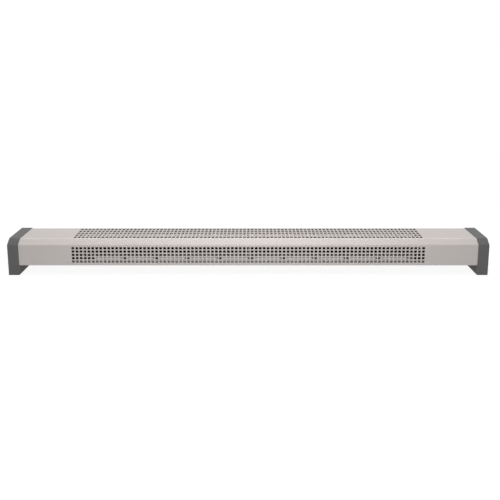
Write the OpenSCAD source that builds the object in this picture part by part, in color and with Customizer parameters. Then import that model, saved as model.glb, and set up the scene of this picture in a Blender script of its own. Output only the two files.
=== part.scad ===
// Plinth convector heater: a long low floor-standing convector on two end caps.
// X runs along the heater, +Y points to the wall behind it, +Z up.
// The origin is on the floor, under the middle of the heater.

/* [Casing] */
// Overall length over both end caps
total_len = 1208; // [900:1:1800]
// Depth from the front to the back of an end cap
casing_depth = 80; // [78:1:110]
// Height of the top of an end cap above the floor
casing_h = 92.5; // [90:0.5:125]
// Height of the fold between the upright front and the sloping edge
front_fold_h = 79.5; // [76:0.5:83]
// How far back the sloping edge runs before the flat top begins
slope_run = 13; // [9:0.5:16]
// Air gap between the floor and the casing
leg_h = 24.5; // [20:0.5:27]
// Thickness of the cover sheet
cover_t = 1; // [0.8:0.1:1.4]
// Thickness of the chassis sheets
chassis_t = 0.8; // [0.6:0.1:1.2]
// Outside radius of the two long folds in the cover
fold_r = 4; // [2.5:0.5:5]
// Outside radius of the cover's lower and rear bends
edge_r = 2.5; // [2:0.5:3]
// Depth of the lip that the cover turns in under the chassis
lip_depth = 13; // [12:0.5:15]
// Drop of the flange that the cover turns down behind the chassis
rear_flange_h = 12; // [8:1:16]

/* [End caps] */
// Thickness of an end cap along the heater
cap_w = 27; // [22:0.5:34]
// How far an end cap stands proud of the cover all round
cap_proud = 1.5; // [1:0.5:3]
// Wall thickness of the moulding
cap_wall = 3; // [2.5:0.5:4]
// Length of the spigot that enters the casing
spigot_len = 5; // [4:0.5:8]
// Edge radius of the moulding's folds
cap_r = 5; // [3:0.5:6]

/* [Grille] */
// Distance between neighbouring columns of holes
hole_pitch = 10; // [9:0.5:14]
// Width of a hole along the heater
hole_w = 6.7; // [4:0.1:7.5]
// Height of a hole in the front
front_hole_h = 5.9; // [4:0.1:6.5]
// Distance between the rows in the front
front_row_pitch = 8.75; // [8:0.25:11]
// Lowest row of the front above the underside
front_first_row = 11; // [9.5:0.25:13]
// Depth of a hole in the top
top_hole_d = 7.5; // [5:0.1:8.5]
// Distance between the rows in the top
top_row_pitch = 12.25; // [10.5:0.25:15]
// Rearmost row of the top from the back of the cover
top_first_row = 8; // [7:0.25:10]
// Length without holes at each end of the cover
blank_end = 137; // [132:1:180]
// Least sheet left between a fold and the middle of the nearest row
fold_margin = 6.5; // [6:0.25:8]

/* [Heating element] */
// Radius of the tubular sheath
sheath_r = 4.25; // [3:0.25:4.5]
// Distance between the two runs of the sheath
run_gap = 18; // [16:0.5:20]
// Height of the element's middle above the floor
element_z = 55; // [54:0.5:57]
// Reach of a rib from the middle of its core
rib_reach = 11.5; // [9:0.5:12.5]
// Thickness of a rib
rib_t = 1.8; // [1.2:0.1:2.4]
// Wall of a core around the sheath
core_wall = 2.2; // [1.5:0.1:3]

/* [Controls and wiring] */
// Travel of the reset button
reset_travel = 2; // [1:0.25:3]
// Radius of the reset button
button_r = 3; // [2.5:0.1:3.5]
// Outer radius of an insulated wire
wire_r = 1.3; // [0.9:0.1:1.5]
// Radius of the supply cable that the inlet bush takes
cable_r = 3.5; // [2.5:0.1:4]
// Radius of a rivet's shank
rivet_r = 1.6; // [1.2:0.1:2]
// Radius of a screw's shank
screw_r = 1.5; // [1.3:0.1:1.9]
// Radius of a wall fixing hole
wall_hole_r = 2.75; // [2.25:0.25:3.5]

/* [Hidden] */

$fn = 32;
arc_steps = 6;
// Play between parts that slide into each other, and between a shaft and its bore
play = 0.3;
bore_play = 0.05;
cable_play = 0.1;
slide_play = 0.08;
// Gap between faces that lie against each other, and between a cap's spigot and the end plate
seat_gap = 0.1;
spigot_gap = 0.2;
// Overshoot of a cut past the face that it opens
cut = 0.5;

// The cap's outline, and the cover's outer faces one step inside it
front_y = -casing_depth / 2;
rear_y = casing_depth / 2;
slope_drop = casing_h - front_fold_h;
cap_in_x = total_len / 2 - cap_w;
cover_front = front_y + cap_proud;
cover_rear = rear_y - cap_proud;
cover_top = casing_h - cap_proud;
cap_outline = [[front_y, 0], [front_y, front_fold_h], [front_y + slope_run, casing_h],
    [rear_y, casing_h], [rear_y, 0]];

// The outline of the casing, moved in by a distance d from the cap's faces, with its floor at z
slope_len = norm([slope_run, slope_drop]);
function inset(d, z) = let (
    fold_z = front_fold_h + d * slope_drop / slope_run - d * slope_len / slope_run,
    fold_y = front_y + slope_run + d * slope_len / slope_drop - d * slope_run / slope_drop)
    [[front_y + d, z], [front_y + d, fold_z], [fold_y, casing_h - d],
     [rear_y - d, casing_h - d], [rear_y - d, z]];

// Unit vector, and the arc of radius r that rounds corner b between its neighbours a and c
function unit(v) = v / norm(v);
function fillet(a, b, c, r, n) = r <= 0 ? [b] : let (
    u = unit(a - b),
    v = unit(c - b),
    half = acos(u * v) / 2,
    middle = b + unit(u + v) * r / sin(half),
    p = b + u * r / tan(half) - middle,
    q = b + v * r / tan(half) - middle,
    from = atan2(p.y, p.x),
    sweep = (atan2(q.y, q.x) - from + 540) % 360 - 180)
    [for (i = [0 : n]) middle + r * [cos(from + sweep * i / n), sin(from + sweep * i / n)]];
function rounded(pts, radii, n = arc_steps) = [for (i = [0 : len(pts) - 1])
    each fillet(pts[(i + len(pts) - 1) % len(pts)], pts[i], pts[(i + 1) % len(pts)], radii[i], n)];

// An open line moved to its right by t, and the closed outline of a bent sheet of that thickness
function right_of(a, b) = let (d = unit(b - a)) [d.y, -d.x];
function beside(pts, t) = [for (i = [0 : len(pts) - 1])
    i == 0 ? pts[0] + t * right_of(pts[0], pts[1])
    : i == len(pts) - 1 ? pts[i] + t * right_of(pts[i - 1], pts[i])
    : let (m = right_of(pts[i - 1], pts[i]), n = right_of(pts[i], pts[i + 1]))
        pts[i] + t * (m + n) / (1 + m * n)];
function backwards(list) = [for (i = [len(list) - 1 : -1 : 0]) list[i]];
function bent_line(pts, radii) = [for (i = [0 : len(pts) - 1])
    each (i == 0 || i == len(pts) - 1 ? [pts[i]]
        : fillet(pts[i - 1], pts[i], pts[i + 1], radii[i], arc_steps))];
function sheet_outline(pts, radii, t) = concat(bent_line(pts, radii),
    backwards(bent_line(beside(pts, t), [for (r = radii) max(r - abs(t), 0.2)])));

// The children's flat shape (Y, Z) pushed along +X
module along_x(length) {
    rotate([90, 0, 90]) linear_extrude(length) children();
}
module rod_x(x, y, z, r, length) {
    translate([x, y, z]) rotate([0, 90, 0]) cylinder(h = length, r = r);
}
module rod_y(x, y, z, r, length) {
    translate([x, y, z]) rotate([-90, 0, 0]) cylinder(h = length, r = r);
}
module rod_z(x, y, z, r, length) {
    translate([x, y, z]) cylinder(h = length, r = r);
}

// Places along the heater, with the blank sheet between the last column and a partition
partition_gap = 4;
cols = 1 + 2 * floor((cap_in_x - blank_end) / hole_pitch + 0.001);
grille_half = (cols - 1) / 2 * hole_pitch;
partition_x = grille_half + partition_gap;
plate_out_x = cap_in_x - spigot_len - spigot_gap;
plate_in_x = plate_out_x - chassis_t;

// The cover's section: lip, front, slope, top, rear flange
cover_line = let (o = inset(cap_proud, leg_h)) [[cover_front + lip_depth, leg_h], o[0], o[1],
    o[2], o[3], [cover_rear, cover_top - rear_flange_h]];
front_rows = 1 + floor((cover_line[2].y - fold_margin - leg_h - front_first_row) / front_row_pitch
    + 0.001);
top_rows = 1 + floor((cover_rear - top_first_row - cover_line[3].x - fold_margin) / top_row_pitch
    + 0.001);
front_row_z = [for (i = [0 : front_rows - 1]) leg_h + front_first_row + i * front_row_pitch];
top_row_y = [for (i = [0 : top_rows - 1]) cover_rear - top_first_row - i * top_row_pitch];

// Chassis levels: the tray lies on the cover's lip, and the back panel stands behind its flange
tray_z = leg_h + cover_t;
tray_top = tray_z + chassis_t;
back_in = cover_rear - cover_t - seat_gap - chassis_t;
back_out = back_in + chassis_t;
top_gap = 1.5;
back_top = cover_top - cover_t - top_gap;
tray_inset = 5;
tray_front = cover_front + tray_inset;
tray_front_h = 10;
tray_rear_h = 14;

// Rivets through the tray (x, y) and through the back panel (x, z)
foot_y = 13;
foot_len = 12;
hanger_t = 1;
hanger_inset = 22;
hanger_x = grille_half - hanger_inset;
hangers = [-hanger_x, 0, hanger_x];
tray_rivets = [
    for (x = hangers, s = [-1, 1]) [x + hanger_t + foot_len / 2, s * foot_y],
    for (e = [-1, 1], s = [-1, 1]) [e * (partition_x - foot_len / 2), s * foot_y],
    for (e = [-1, 1], s = [-1, 1]) [e * (plate_in_x - foot_len / 2), s * foot_y]];
flange_rivet_h = 9;
flange_rivet_z = tray_z + flange_rivet_h;
end_rivet_inset = 30;
flange_rivets = [for (i = [-3 : 3]) [i * (plate_in_x - end_rivet_inset) / 3, flange_rivet_z]];
under_flange = cover_top - rear_flange_h;
tab_margin = 5;
tab_rise = 14;
plate_rivet_z = [flange_rivet_z + tab_rise, under_flange - tab_margin];
plate_rivets = [for (e = [-1, 1], z = plate_rivet_z) [e * (plate_in_x - foot_len / 2), z]];
shield_low_gap = 2;
shield_high_gap = 1;
shield_end_gap = 6;
shield_low = tray_z + tray_rear_h + shield_low_gap;
shield_high = under_flange - shield_high_gap;
shield_foot = 6;
shield_rise = 2;
shield_reach = 4.5;
shield_t = 0.5;
shield_half = partition_x - shield_end_gap;
shield_rivets = [for (x = [-0.9, 0, 0.9], z = [shield_low + shield_foot / 2,
    shield_high - shield_foot / 2]) [x * shield_half, z]];
back_rivets = concat(flange_rivets, plate_rivets, shield_rivets);

// Screws: cover to tray from below (x), cap to end plate from inside (y, z), wall fixing (x, z)
lip_screw_edge = 4;
end_screw_inset = 45;
cover_screw_y = cover_front + lip_depth - lip_screw_edge;
cover_screw_x = [for (i = [-3, -1, 1, 3]) i * (plate_in_x - end_screw_inset) / 3];
boss_front = 20.5;
boss_back = 18.6;
boss_up = 24;
boss_down = 14;
cap_screws_at = [[cover_front + boss_front, tray_z + boss_up],
    [back_in - boss_back, back_top - boss_down]];
wall_fix_in = 76;
wall_fix_up = 5;
wall_fix = [partition_x + wall_fix_in, element_z + wall_fix_up];

// The painted cover: one sheet, bent five times, with a field of holes in its front and its top
module cover() color("#b5aeab") {
    holes_x = [for (i = [0 : cols - 1]) (i - (cols - 1) / 2) * hole_pitch];
    difference() {
        translate([-cap_in_x, 0, 0]) along_x(2 * cap_in_x)
            polygon(sheet_outline(cover_line, [0, edge_r, fold_r, fold_r, edge_r, 0], cover_t));
        for (x = holes_x, z = front_row_z)
            translate([x - hole_w / 2, cover_front - cut, z - front_hole_h / 2])
                cube([hole_w, cover_t + 2 * cut, front_hole_h]);
        for (x = holes_x, y = top_row_y)
            translate([x - hole_w / 2, y - top_hole_d / 2, cover_top - cover_t - cut])
                cube([hole_w, top_hole_d, cover_t + 2 * cut]);
        for (x = cover_screw_x)
            rod_z(x, cover_screw_y, leg_h - cut, screw_r + play, cover_t + 2 * cut);
    }
}

// The back of the chassis, with the rivet holes and one wall fixing hole near each end
module back_panel() color("#c3c6c8") difference() {
    translate([-plate_out_x, back_in, tray_z])
        cube([2 * plate_out_x, chassis_t, back_top - tray_z]);
    for (p = back_rivets) rod_y(p.x, back_in - cut, p.y, rivet_r + bore_play, chassis_t + 2 * cut);
    for (s = [-1, 1])
        rod_y(s * wall_fix.x, back_in - cut, wall_fix.y, wall_hole_r, chassis_t + 2 * cut);
}

// The floor of the chassis: stiffening flange in front, riveting flange behind, air slots between
slot_w = 7;
slot_pitch = 82.5;
slot_bridge = 10.5;
slot_len = slot_pitch - slot_bridge;
slot_rear = 10.6;
slot_rows = [-2, back_in - slot_rear];
slot_end = 25;
slot_bays = floor((grille_half - slot_end) / slot_pitch);
slots_x = [for (i = [-slot_bays : slot_bays - 1]) hanger_t + foot_len / 2 + (i + 0.5) * slot_pitch];
tray_bend_r = 1.6;

// Sizes and places (x, y) of what stands on the tray in the right-hand end
bush_wall = 1.5;
bush_groove_r = cable_r + bush_wall;
bush_rim_r = bush_groove_r + bush_wall;
bush_rim_t = 3;
bush_gap = 3.5;
bush_back = 17.6;
bush_at = [plate_in_x - foot_len - bush_rim_r - bush_gap, back_in - bush_back];
neck_r = 5;
button_in = 78;
button_back = 22.6;
button_at = [partition_x + button_in, back_in - button_back];
stud_r = 2;
stud_head_r = 4;
earth_in = 63;
earth_gap = 1.5;
earth_at = [partition_x + earth_in, cover_front + lip_depth + stud_head_r + earth_gap];
pole_pitch = 9;
small_screw_r = 1.2;
block = [18, 3 * pole_pitch, 15];
block_gap = [5, 1.2];
block_at = [plate_in_x - foot_len - block_gap.x - block.x / 2,
    tray_front + chassis_t + block_gap.y + block.y / 2];
module base_tray() color("#c3c6c8") difference() {
    translate([-plate_out_x, 0, 0]) along_x(2 * plate_out_x)
        polygon(sheet_outline([[tray_front, tray_z + tray_front_h], [tray_front, tray_z],
            [back_in, tray_z], [back_in, tray_z + tray_rear_h]],
            [0, tray_bend_r, tray_bend_r, 0], -chassis_t));
    for (x = slots_x, y = slot_rows) translate([x, y, tray_z - cut])
        linear_extrude(chassis_t + 2 * cut) {
            square([slot_len - slot_w, slot_w], center = true);
            for (s = [-1, 1]) translate([s * (slot_len - slot_w) / 2, 0]) circle(d = slot_w);
        }
    for (p = tray_rivets) rod_z(p.x, p.y, tray_z - cut, rivet_r + bore_play, chassis_t + 2 * cut);
    for (p = flange_rivets)
        rod_y(p.x, back_in - chassis_t - cut, p.y, rivet_r + bore_play, chassis_t + 2 * cut);
    for (x = cover_screw_x)
        rod_z(x, cover_screw_y, tray_z - cut, screw_r + bore_play, chassis_t + 2 * cut);
    rod_z(button_at.x, button_at.y, tray_z - cut, neck_r + bore_play, chassis_t + 2 * cut);
    rod_z(bush_at.x, bush_at.y, tray_z - cut, bush_groove_r + bore_play, chassis_t + 2 * cut);
    rod_z(earth_at.x, earth_at.y, tray_z - cut, stud_r + bore_play, chassis_t + 2 * cut);
    for (s = [-1, 1])
        rod_z(block_at.x, block_at.y + s * pole_pitch / 2, tray_z - cut, small_screw_r + bore_play,
            chassis_t + 2 * cut);
}

// An end cap, drawn for the right-hand end: a moulded shell with a leg, a spigot and two bosses
cap_rear_r = 3;
cap_foot_r = 0.8;
spigot_wall = 2;
inner_r = 1;
boss_r = 4;
screw_grip = 8;
bore_spare = 1;
module end_cap() color("#5c5c5b") {
    spigot = inset(cap_proud + cover_t + play, leg_h + cover_t + play);
    pocket = inset(cap_proud + cover_t + play + spigot_wall, leg_h + cover_t + play + spigot_wall);
    spigot_radii = [inner_r, fold_r - cover_t, fold_r - cover_t, edge_r - cover_t, inner_r];
    difference() {
        union() {
            translate([cap_in_x, 0, 0]) along_x(cap_w)
                polygon(rounded(cap_outline, [cap_foot_r, cap_r, cap_r, cap_rear_r, cap_foot_r]));
            translate([cap_in_x - spigot_len, 0, 0]) along_x(spigot_len + cap_wall)
                polygon(rounded(spigot, spigot_radii));
        }
        difference() {
            translate([cap_in_x - spigot_len - cut, 0, 0]) along_x(spigot_len + cap_w - cap_wall + cut)
                polygon(rounded(pocket, [for (p = pocket) inner_r]));
            for (p = cap_screws_at) rod_x(cap_in_x - spigot_len, p.x, p.y, boss_r, spigot_len + cap_w);
        }
        for (s = [-1, 1]) {
            core = (casing_depth - 3 * cap_wall) / 2;
            translate([cap_in_x + cap_wall, s * (core + cap_wall) / 2 - core / 2, -cut])
                cube([cap_w - 2 * cap_wall, core, leg_h - cap_wall + cut]);
        }
        for (p = cap_screws_at)
            rod_x(cap_in_x - spigot_len - cut, p.x, p.y, screw_r + bore_play,
                spigot_len + screw_grip + bore_spare + cut);
    }
}
module right_end_cap() end_cap();
module left_end_cap() mirror([1, 0, 0]) end_cap();

// A chassis end plate: the upright sheet, a foot on the tray and a flange on the back panel
plate_gap = 0.6;
partition_edge_gap = 1;
module end_plate() color("#c3c6c8") difference() {
    union() {
        translate([plate_in_x, 0, 0]) along_x(chassis_t) polygon(plate_outline(plate_gap));
        foot(plate_in_x, chassis_t);
        translate([plate_in_x - foot_len, back_in - chassis_t, plate_rivet_z[0] - tab_margin])
            cube([foot_len + weld, chassis_t, plate_rivet_z[1] - plate_rivet_z[0] + 2 * tab_margin]);
    }
    foot_holes(plate_in_x, chassis_t);
    for (z = plate_rivet_z)
        rod_y(plate_in_x - foot_len / 2, back_in - chassis_t - cut, z, rivet_r + bore_play,
            chassis_t + 2 * cut);
    for (p = cap_screws_at)
        rod_x(plate_in_x - cut, p.x, p.y, screw_r + play, chassis_t + 2 * cut);
}
module right_end_plate() end_plate();
module left_end_plate() mirror([1, 0, 0]) end_plate();

// The foot of an upright sheet, from its sheet at x back along the tray, and the foot's rivet holes
foot_edge = 6;
foot_half = foot_y + foot_edge;
weld = 0.2;
module foot(x, t) {
    translate([x - foot_len, -foot_half, tray_top]) cube([foot_len + weld, 2 * foot_half, t]);
}
module foot_holes(x, t) {
    for (s = [-1, 1])
        rod_z(x - foot_len / 2, s * foot_y, tray_top - cut, rivet_r + bore_play, t + 2 * cut);
}

// The outline of an upright sheet inside the cover, stepped in over the tray's front flange
function plate_outline(gap) = let (
    o = inset(cap_proud + cover_t + gap, tray_top),
    step_y = tray_front + chassis_t + gap,
    step_z = tray_z + tray_front_h + gap,
    back = back_in - chassis_t - seat_gap,
    back_step = tray_z + tray_rear_h + gap)
    concat([[step_y + tray_bend_r, tray_top], [step_y, tray_top + tray_bend_r], [step_y, step_z],
        [o[0].x, step_z], o[1], o[2], [back_in, o[3].y], [back_in, back_step], [back, back_step],
        [back, tray_top + tray_bend_r], [back - tray_bend_r, tray_top]]);

// A black partition between the heated length and an end compartment
module partition_plate() color("#343536") difference() {
    union() {
        translate([partition_x, 0, 0]) along_x(chassis_t) polygon(plate_outline(partition_edge_gap));
        foot(partition_x, chassis_t);
    }
    foot_holes(partition_x, chassis_t);
}
bead_wall = 2.2;
bead_r = sheath_r + bead_wall;
sensor_r = 1;
sensor_gap = 2;
sensor_at = [0, element_z + rib_reach + sensor_r + sensor_gap];
module right_partition() difference() {
    partition_plate();
    color("#343536") {
        for (s = [-1, 1])
            rod_x(partition_x - cut, s * run_gap / 2, element_z, bead_r + bore_play, chassis_t + 2 * cut);
        rod_x(partition_x - cut, sensor_at.x, sensor_at.y, sensor_r + play, chassis_t + 2 * cut);
    }
}
module left_partition() mirror([1, 0, 0]) partition_plate();

// The bright shield that keeps the wall cool, standing off the back panel on two bent feet
module heat_shield() color("#d4d7d9") difference() {
    stand_off = back_in - shield_reach;
    translate([-shield_half, 0, 0]) along_x(2 * shield_half) polygon(sheet_outline([
        [back_in, shield_low], [back_in, shield_low + shield_foot],
        [stand_off, shield_low + shield_foot + shield_rise],
        [stand_off, shield_high - shield_foot - shield_rise],
        [back_in, shield_high - shield_foot], [back_in, shield_high]],
        [0, inner_r, inner_r, inner_r, inner_r, 0], -shield_t));
    for (p = shield_rivets)
        rod_y(p.x, back_in - shield_t - cut, p.y, rivet_r + bore_play, shield_t + 2 * cut);
}

// The element: a hairpin sheath in a ribbed extrusion
profile_inset = 20;
profile_half = grille_half - profile_inset;
bend_out = 4;
cold_len = 17;
bend_x = -profile_half - bend_out;
sheath_end = partition_x + cold_len;
module element_sheath() color("#4a4744") union() {
    for (s = [-1, 1]) rod_x(bend_x, s * run_gap / 2, element_z, sheath_r, sheath_end - bend_x);
    translate([bend_x, 0, element_z]) rotate([0, 0, 90])
        rotate_extrude(angle = 180) translate([run_gap / 2, 0]) circle(r = sheath_r);
}

core_r = sheath_r + core_wall;
module element_profile() color("#2a2a2b") translate([-profile_half, 0, 0]) along_x(2 * profile_half)
    difference() {
        union() {
            translate([-run_gap / 2, element_z - rib_t / 2]) square([run_gap, rib_t]);
            translate([-rib_t / 2, element_z - rib_reach * 0.8]) square([rib_t, rib_reach * 1.6]);
            for (s = [-1, 1]) translate([s * run_gap / 2, element_z]) {
                circle(r = core_r);
                for (a = s > 0 ? [45, 90, 270, 315] : [90, 135, 225, 270])
                    rotate(a) translate([0, -rib_t / 2]) square([rib_reach, rib_t]);
            }
        }
        for (s = [-1, 1]) translate([s * run_gap / 2, element_z]) circle(r = sheath_r + bore_play);
    }
profile_y = run_gap / 2 + rib_reach * cos(45) + rib_t / 2;
profile_z = rib_reach;

pin_r = 1.5;
pin_len = 18;
sheath_wall = 0.8;
seal_len = 6;
module element_insulators() color("#e8e4da") for (s = [-1, 1]) difference() {
    rod_x(sheath_end, s * run_gap / 2, element_z, sheath_r - sheath_wall, seal_len);
    rod_x(sheath_end - cut, s * run_gap / 2, element_z, pin_r + bore_play, seal_len + 2 * cut);
}
module element_pins() color("#b9b5ac") for (s = [-1, 1])
    rod_x(sheath_end, s * run_gap / 2, element_z, pin_r, pin_len);

// Steatite bushes that carry the sheath through the right-hand partition
bead_x = partition_x - 3;
bead_len = 9;
bead_rim = 1.8;
bead_rim_t = 2;
module partition_bushes() color("#e8e4da") for (s = [-1, 1]) difference() {
    union() {
        rod_x(bead_x, s * run_gap / 2, element_z, bead_r, bead_len);
        rod_x(partition_x + chassis_t, s * run_gap / 2, element_z, bead_r + bead_rim, bead_rim_t);
    }
    rod_x(bead_x - cut, s * run_gap / 2, element_z, sheath_r + bore_play, bead_len + 2 * cut);
}

// A hanger: an upright plate with a window for the element and a hole for the sensor, on a foot
hanger_edge = 4;
module hanger(x) color("#c3c6c8") {
    window_y = profile_y + play;
    window_z = profile_z + play;
    top = sensor_at.y + hanger_edge;
    foot_x = x + hanger_t + foot_len;
    difference() {
        union() {
            translate([x, -window_y - hanger_edge, tray_top])
                cube([hanger_t, 2 * (window_y + hanger_edge), top - tray_top]);
            translate([-weld, 0, 0]) foot(foot_x, hanger_t);
        }
        translate([x - cut, -window_y, element_z - window_z])
            cube([hanger_t + 2 * cut, 2 * window_y, 2 * window_z]);
        rod_x(x - cut, sensor_at.x, sensor_at.y, sensor_r + play, hanger_t + 2 * cut);
        foot_holes(foot_x, hanger_t);
    }
}
module left_hanger() hanger(-hanger_x);
module mid_hanger() hanger(0);
module right_hanger() hanger(hanger_x);

// The thermal cut-out: housing with a threaded neck, nut under the tray, tabs on top
cutout = [30, 18, 22];
neck_len = 6;
neck_bottom = tray_z - neck_len;
ledge_h = 4;
ledge_z = tray_top + ledge_h;
spring_room = 10;
chamber_h = spring_room + reset_travel;
collar_reach = 1.2;
collar_r = button_r + collar_reach;
module cutout_body() color("#3b3a3d") difference() {
    union() {
        translate([button_at.x - cutout.x / 2, button_at.y - cutout.y / 2, tray_top]) cube(cutout);
        rod_z(button_at.x, button_at.y, neck_bottom, neck_r, tray_top + cut - neck_bottom);
    }
    rod_z(button_at.x, button_at.y, neck_bottom - cut, button_r + slide_play,
        ledge_z - neck_bottom + 2 * cut);
    rod_z(button_at.x, button_at.y, ledge_z, collar_r + play, chamber_h);
}
neck_nut_r = 8;
neck_nut_h = 3;
module cutout_nut() color("#b9bcc0") difference() {
    translate([button_at.x, button_at.y, tray_z - neck_nut_h])
        cylinder(h = neck_nut_h, r = neck_nut_r, $fn = 6);
    rod_z(button_at.x, button_at.y, tray_z - neck_nut_h - cut, neck_r + bore_play, neck_nut_h + 2 * cut);
}
tab = [6.3, 0.8, 8];
tab_reach = 9;
tab_x = [button_at.x - tab_reach, button_at.x + tab_reach];
tab_top = tray_top + cutout.z + tab.z;
module cutout_tabs() color("#c9b36a") for (x = tab_x)
    translate([x - tab.x / 2, button_at.y - tab.y / 2, tray_top + cutout.z]) cube(tab);

// The reset button: stem, collar inside the housing, and the end that a finger pushes
collar_t = 1.5;
collar_z = ledge_z + seat_gap;
button_proud = 1.5;
button_bottom = neck_bottom - reset_travel - button_proud;
pip_r = 1.2;
pip_h = 3;
module reset_button() color("#b3261e") union() {
    rod_z(button_at.x, button_at.y, button_bottom, button_r, collar_z - button_bottom);
    rod_z(button_at.x, button_at.y, collar_z, collar_r, collar_t);
    rod_z(button_at.x, button_at.y, collar_z + collar_t, pip_r, pip_h);
}

// A round tube of radius r swept along a line of points, with s sides
function ring(at, dir, r, s) = let (
    lean = abs(unit(dir) * [0.28, 0.35, 0.9]) > 0.97 ? [0, 1, 0] : [0.28, 0.35, 0.9],
    u = unit(cross(dir, lean)),
    v = unit(cross(dir, u)))
    [for (k = [0 : s - 1]) at + r * (cos(360 * k / s) * u + sin(360 * k / s) * v)];
module tube(pts, r, s = 8) {
    n = len(pts);
    rings = [for (i = [0 : n - 1])
        each ring(pts[i], pts[min(i + 1, n - 1)] - pts[max(i - 1, 0)], r, s)];
    polyhedron(rings, concat(
        [[for (k = [0 : s - 1]) k]],
        [[for (k = [s - 1 : -1 : 0]) (n - 1) * s + k]],
        [for (i = [0 : n - 2], k = [0 : s - 1]) each [
            [i * s + k, (i + 1) * s + k, (i + 1) * s + (k + 1) % s],
            [i * s + k, (i + 1) * s + (k + 1) % s, i * s + (k + 1) % s]]]), convexity = 6);
}

// A smooth line through hand-placed points: each span is a cubic curve in n steps
function blend4(a, b, c, d, t) = 0.5 * (2 * b + (c - a) * t + (2 * a - 5 * b + 4 * c - d) * t * t
    + (3 * b - a - 3 * c + d) * t * t * t);
function smooth(p, n = 4) = let (m = len(p) - 1) concat(
    [for (i = [0 : m - 1], k = [0 : n - 1]) blend4(p[max(i - 1, 0)], p[i], p[i + 1],
        p[min(i + 2, m)], k / n)], [p[m]]);

// The reset spring: a helix between the button's collar and the roof of the chamber
spring_wire = 0.3;
spring_turns = 5;
spring_inset = 0.7;
spring_r = collar_r - spring_inset;
spring_low = collar_z + collar_t + spring_wire + seat_gap;
spring_high = ledge_z + chamber_h - spring_wire - seat_gap;
module reset_spring() color("#c9ccd0") {
    steps = 10 * spring_turns;
    tube([for (i = [0 : steps]) [
        button_at.x + spring_r * cos(360 * spring_turns * i / steps),
        button_at.y + spring_r * sin(360 * spring_turns * i / steps),
        spring_low + (spring_high - spring_low) * i / steps]], spring_wire, 6);
}

// The cut-out's sensor: a thin tube over the element, down into the top of the housing
module sensor_tube() color("#b87d4b") {
    z = sensor_at.y;
    top = tray_top + cutout.z;
    tube(concat([[-grille_half + 2, sensor_at.x, z], [0, sensor_at.x, z], [grille_half, sensor_at.x, z]],
        smooth([[partition_x + 6, sensor_at.x, z], [partition_x + 26, sensor_at.x, z + 1],
            [button_at.x - 22, sensor_at.x + 1, z + 0.5], [button_at.x - 6, button_at.y - 9, z - 1],
            [button_at.x - 1, button_at.y - 2, z - 8], [button_at.x, button_at.y, top + 6],
            [button_at.x, button_at.y, top + seat_gap]])), sensor_r);
}

// The terminal block: an insulator, three brass inserts along X and two screws to each
pole_z = tray_top + block.z / 2;
insert_r = 3;
insert_inset = 0.5;
insert_play = 0.4;
insert_bore = wire_r + insert_play;
pole_screw_x = 5;
pole_head_r = 1.7;
pole_head_h = 1.8;
pole_screw_len = 4;
slot_cut = 0.6;
block_sink = 3;
block_seat = tray_top + block.z - block_sink;
block_head_r = 1.8;
block_head_h = 1.6;
block_tip = 2;
poles_y = [for (i = [-1 : 1]) block_at.y + i * pole_pitch];
module terminal_block() color("#e9e7e0") difference() {
    translate([block_at.x - block.x / 2, block_at.y - block.y / 2, tray_top]) cube(block);
    for (y = poles_y) {
        rod_x(block_at.x - block.x / 2 - cut, y, pole_z, insert_r + bore_play, block.x + 2 * cut);
        for (s = [-1, 1]) rod_z(block_at.x + s * pole_screw_x, y, pole_z, pole_head_r + play, block.z);
    }
    for (s = [-1, 1]) {
        rod_z(block_at.x, block_at.y + s * pole_pitch / 2, tray_top - cut,
            small_screw_r + bore_play, block.z + 2 * cut);
        rod_z(block_at.x, block_at.y + s * pole_pitch / 2, block_seat, block_head_r + bore_play,
            tray_top + block.z - block_seat + cut);
    }
}
module terminal_inserts() color("#c9a24a") for (y = poles_y) difference() {
    rod_x(block_at.x - block.x / 2 + insert_inset, y, pole_z, insert_r, block.x - 2 * insert_inset);
    rod_x(block_at.x - block.x / 2, y, pole_z, insert_bore, block.x);
    for (s = [-1, 1])
        rod_z(block_at.x + s * pole_screw_x, y, pole_z, small_screw_r + bore_play, insert_r + cut);
}
module terminal_screws() color("#d2d4d6") for (y = poles_y, s = [-1, 1]) {
    x = block_at.x + s * pole_screw_x;
    tip = pole_z + wire_r + seat_gap;
    difference() {
        union() {
            rod_z(x, y, tip, small_screw_r, pole_screw_len);
            rod_z(x, y, tip + pole_screw_len, pole_head_r, pole_head_h);
        }
        translate([x - slot_cut / 2, y - 2, tip + pole_screw_len + pole_head_h / 2])
            cube([slot_cut, 4, pole_head_h]);
    }
}
module block_screws() color("#d2d4d6") for (s = [-1, 1]) {
    y = block_at.y + s * pole_pitch / 2;
    difference() {
        union() {
            rod_z(block_at.x, y, tray_z - block_tip, small_screw_r, block_seat - tray_z + block_tip);
            rod_z(block_at.x, y, block_seat, block_head_r, block_head_h);
        }
        translate([block_at.x - 2, y - slot_cut / 2, block_seat + block_head_h / 2])
            cube([4, slot_cut, block_head_h]);
    }
}

// The cable inlet: a rubber bush with a groove that grips the edge of its hole in the tray
module cable_bush() color("#2b2b2c") difference() {
    union() {
        rod_z(bush_at.x, bush_at.y, tray_z - bush_rim_t, bush_rim_r, bush_rim_t);
        rod_z(bush_at.x, bush_at.y, tray_z - cut, bush_groove_r, chassis_t + 2 * cut);
        rod_z(bush_at.x, bush_at.y, tray_top, bush_rim_r, bush_rim_t);
    }
    rod_z(bush_at.x, bush_at.y, tray_z - bush_rim_t - cut, cable_r + cable_play,
        chassis_t + 2 * bush_rim_t + 2 * cut);
}

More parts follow.
